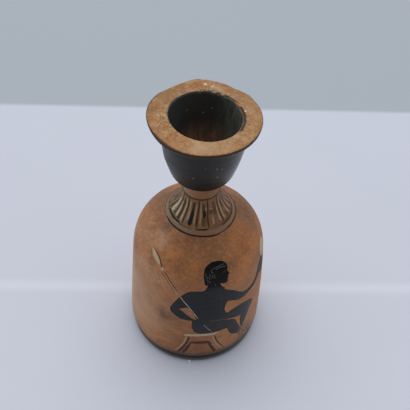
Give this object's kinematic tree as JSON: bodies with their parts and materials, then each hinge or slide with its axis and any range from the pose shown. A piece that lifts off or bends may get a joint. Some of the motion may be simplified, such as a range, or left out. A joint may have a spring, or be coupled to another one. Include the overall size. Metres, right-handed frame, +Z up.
{
  "type": "aryballos flask",
  "caption": "Small painted clay oil flask with a round-shouldered body on a low foot, a flared neck, a deep cup mouth with a broad flat lip, and a strap handle at the back.",
  "frame": {"origin": "centre of the foot's underside, on the surface that the flask stands on", "axes": "+Z up along the flask's axis, -Y towards the painted front, handle at +Y"},
  "size_m": [0.0678, 0.0678, 0.1299],
  "materials": {
    "red_clay": "matte",
    "pale_clay": "matte",
    "black_gloss": "satin",
    "added_cream": "matte",
    "dilute_brown": "satin"
  },
  "bodies": {
    "root": {"foot": "black_gloss", "body": "red_clay", "neck": "pale_clay", "mouth": "black_gloss", "handle": "black_gloss"}
  },
  "joints": []
}
